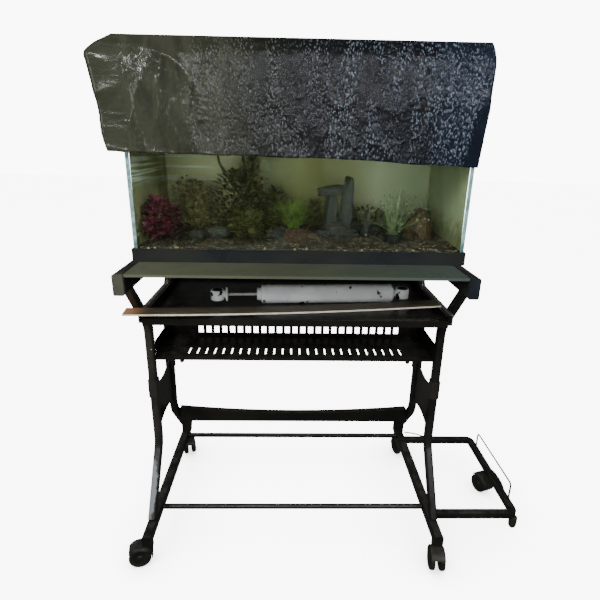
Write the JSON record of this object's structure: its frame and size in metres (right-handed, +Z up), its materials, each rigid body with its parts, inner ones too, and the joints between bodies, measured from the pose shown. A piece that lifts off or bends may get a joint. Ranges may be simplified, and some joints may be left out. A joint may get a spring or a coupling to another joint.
{
  "type": "aquarium on stand",
  "caption": "Rectangular glass aquarium, planted, under a black plastic sheet, on a black steel trolley with sliding tray, slotted shelf, side holder and castors.",
  "frame": {"origin": "on the floor, under the middle of the whole object's footprint, the side holder and the sheet included", "axes": "+Z up, +X to the right seen from the front, front of the tank and trolley towards -Y"},
  "size_m": [1.0604, 0.5548, 1.2414],
  "materials": {
    "frame_paint": "satin black powder paint on steel",
    "black_plastic": "black moulded plastic",
    "board_laminate": "grey laminate with a slight green tint",
    "runner_zinc": "zinc-plated steel",
    "tank_glass": "clear float glass",
    "tank_trim_plastic": "black moulded trim",
    "sheet_plastic": "embossed black plastic sheet, shiny, with folds",
    "damper_paint": "white paint with black chips",
    "rod_chrome": "polished hard chrome",
    "slat_wood": "thin brown faced board with a pale front edge",
    "gravel_mix": "dark mixed gravel with a few light and orange grains",
    "dark_rock": "dark rough rock",
    "shell_husk": "brown fibrous shell",
    "pot_ceramic": "dark pot",
    "dark_wood": "dark waterlogged wood",
    "leaf_green": "green grassy leaves",
    "leaf_pale": "pale green stems and leaves",
    "leaf_olive": "dark olive leaves",
    "leaf_red": "dark red leaves",
    "hose_vinyl": "dark soft air hose",
    "porous_stone": "grey-blue porous air stone"
  },
  "bodies": {
    "frame": {"air_stone": "porous_stone", "airline": "hose_vinyl", "cross_bar_front": "frame_paint", "cross_bar_rear": "frame_paint", "desk_board": "board_laminate", "driftwood": "dark_wood", "foot_rail_left": "frame_paint", "foot_rail_right": "frame_paint", "grass_plant": "leaf_green", "gravel_bed": "gravel_mix", "holder_frame": "frame_paint", "holder_guard": "frame_paint", "holder_leaf": "frame_paint", "holder_stub": "black_plastic", "leafy_plant": "leaf_olive", "leg_front_left": "frame_paint", "leg_front_right": "frame_paint", "leg_rear_left": "frame_paint", "leg_rear_right": "frame_paint", "pane_back": "tank_glass", "pane_bottom": "tank_glass", "pane_front": "tank_glass", "pane_left": "tank_glass", "pane_right": "tank_glass", "plant_pot": "pot_ceramic", "pointed_stone": "dark_rock", "rail_cap_front_left": "black_plastic", "rail_cap_front_right": "black_plastic", "rail_cap_rear_left": "black_plastic", "rail_cap_rear_right": "black_plastic", "rear_stretcher": "frame_paint", "red_plant": "leaf_red", "rock_arch": "dark_rock", "shell_cave": "shell_husk", "side_plate_left": "frame_paint", "side_plate_right": "frame_paint", "slotted_shelf": "frame_paint", "stem_plant": "leaf_pale", "tank_rim": "tank_trim_plastic", "tank_trim": "tank_trim_plastic", "top_rail_left": "frame_paint", "top_rail_right": "frame_paint", "tray_runner_left": "runner_zinc", "tray_runner_right": "runner_zinc"},
    "castor_front_left": {"castor_hood_front_left": "black_plastic"},
    "wheels_front_left": {"castor_wheels_front_left": "black_plastic"},
    "castor_front_right": {"castor_hood_front_right": "black_plastic"},
    "wheels_front_right": {"castor_wheels_front_right": "black_plastic"},
    "castor_rear_left": {"castor_hood_rear_left": "black_plastic"},
    "wheels_rear_left": {"castor_wheels_rear_left": "black_plastic"},
    "castor_rear_right": {"castor_hood_rear_right": "black_plastic"},
    "wheels_rear_right": {"castor_wheels_rear_right": "black_plastic"},
    "castor_side": {"castor_hood_side": "black_plastic"},
    "wheels_side": {"castor_wheels_side": "black_plastic"},
    "tray": {"sliding_tray": "frame_paint"},
    "damper": {"damper_body": "damper_paint"},
    "rod": {"damper_rod": "rod_chrome"},
    "slat": {"loose_slat": "slat_wood"},
    "hood": {"hood": "tank_trim_plastic"},
    "cover": {"cover_sheet": "sheet_plastic"}
  },
  "joints": [
    {"name": "swivel_front_left", "type": "hinge", "parent": "frame", "child": "castor_front_left", "pos_m": [-0.47632, -0.22409, 0.063], "axis": [0, 0, 1], "continuous": true},
    {"name": "roll_front_left", "type": "hinge", "parent": "castor_front_left", "child": "wheels_front_left", "pos_m": [-0.4995, -0.2303, 0.028], "axis": [0.2588, -0.9659, 0], "continuous": true},
    {"name": "swivel_front_right", "type": "hinge", "parent": "frame", "child": "castor_front_right", "pos_m": [0.27168, -0.22409, 0.063], "axis": [0, 0, 1], "continuous": true},
    {"name": "roll_front_right", "type": "hinge", "parent": "castor_front_right", "child": "wheels_front_right", "pos_m": [0.26876, -0.24791, 0.028], "axis": [0.9925, -0.1219, 0], "continuous": true},
    {"name": "swivel_rear_left", "type": "hinge", "parent": "frame", "child": "castor_rear_left", "pos_m": [-0.47632, 0.24891, 0.063], "axis": [0, 0, 1], "continuous": true},
    {"name": "roll_rear_left", "type": "hinge", "parent": "castor_rear_left", "child": "wheels_rear_left", "pos_m": [-0.46772, 0.2265, 0.028], "axis": [0.9336, 0.3584, 0], "continuous": true},
    {"name": "swivel_rear_right", "type": "hinge", "parent": "frame", "child": "castor_rear_right", "pos_m": [0.27168, 0.24891, 0.063], "axis": [0, 0, 1], "continuous": true},
    {"name": "roll_rear_right", "type": "hinge", "parent": "castor_rear_right", "child": "wheels_rear_right", "pos_m": [0.2779, 0.22573, 0.028], "axis": [0.9659, 0.2588, 0], "continuous": true},
    {"name": "swivel_side", "type": "hinge", "parent": "frame", "child": "castor_side", "pos_m": [0.50968, 0.01591, 0.063], "axis": [0, 0, 1], "continuous": true},
    {"name": "roll_side", "type": "hinge", "parent": "castor_side", "child": "wheels_side", "pos_m": [0.50148, 0.03846, 0.028], "axis": [-0.9397, -0.342, 0], "continuous": true},
    {"name": "tray_slide", "type": "slide", "parent": "frame", "child": "tray", "axis": [0, -1, 0], "range_m": [0, 0.22]},
    {"name": "damper_lift", "type": "slide", "parent": "tray", "child": "damper", "axis": [0, 0, 1], "range_m": [0, 0.05]},
    {"name": "rod_slide", "type": "slide", "parent": "damper", "child": "rod", "axis": [0.9982, 0.0593, 0], "range_m": [0, 0.066]},
    {"name": "slat_slide", "type": "slide", "parent": "tray", "child": "slat", "axis": [0, -1, 0], "range_m": [0, 0.25]},
    {"name": "hood_lift", "type": "slide", "parent": "frame", "child": "hood", "axis": [0, 0, 1], "range_m": [0, 0.15]},
    {"name": "cover_lift", "type": "slide", "parent": "hood", "child": "cover", "axis": [0, 0, 1], "range_m": [0, 0.25]}
  ]
}
